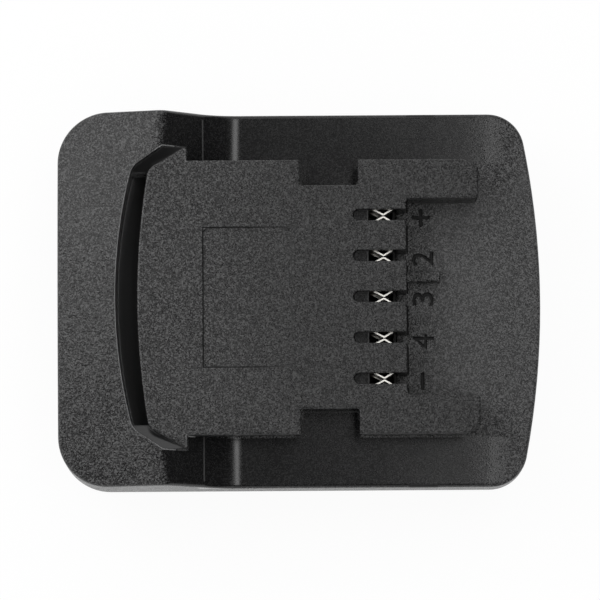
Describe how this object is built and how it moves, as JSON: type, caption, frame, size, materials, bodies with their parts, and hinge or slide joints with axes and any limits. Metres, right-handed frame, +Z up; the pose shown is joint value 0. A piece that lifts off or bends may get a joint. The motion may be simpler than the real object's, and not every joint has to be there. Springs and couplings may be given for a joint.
{
  "type": "tool battery adapter",
  "caption": "Slide-in adapter: a railed block with sprung fork contacts on top takes it into a tool, and a railed channel with blades beneath takes a donor battery.",
  "frame": {"origin": "on the surface the adapter stands on, under the middle of its bounding box", "axes": "+X is the way it slides into the tool, +Z points up to the tool side, +Y completes the right-handed frame and is the side of the positive contact"},
  "size_m": [0.097, 0.0754, 0.0355],
  "materials": {
    "case_plastic": "fine textured black",
    "lower_case_plastic": "fine textured black",
    "contact_metal": "bright tin plate",
    "carrier_plastic": "plain dark moulding",
    "holder_plastic": "plain dark moulding",
    "board_laminate": "green solder mask",
    "chip_plastic": "moulded package",
    "fuse_ceramic": "pale ceramic",
    "resistor_ceramic": "dark film on ceramic",
    "capacitor_ceramic": "tan ceramic",
    "blade_metal": "satin tin plate",
    "wire_red": "satin",
    "wire_black": "satin",
    "wire_yellow": "satin",
    "wire_white": "satin",
    "screw_steel": "zinc plated"
  },
  "bodies": {
    "root": {"upper_housing": "case_plastic", "lower_housing": "lower_case_plastic", "contact_plus": "contact_metal", "contact_two": "contact_metal", "contact_three": "contact_metal", "contact_four": "contact_metal", "contact_minus": "contact_metal", "contact_carrier": "carrier_plastic", "blade_holder": "holder_plastic", "circuit_board": "board_laminate", "identity_chip": "chip_plastic", "cutoff_transistor": "chip_plastic", "fuse": "fuse_ceramic", "thermistor": "resistor_ceramic", "board_resistors": "resistor_ceramic", "board_capacitors": "capacitor_ceramic", "blade_plus": "blade_metal", "blade_minus": "blade_metal", "blade_signal_left": "blade_metal", "blade_signal_right": "blade_metal", "wire_plus": "wire_red", "wire_minus": "wire_black", "wire_signal_left": "wire_yellow", "wire_signal_right": "wire_white", "housing_screws": "screw_steel", "board_screws": "screw_steel"}
  },
  "joints": []
}
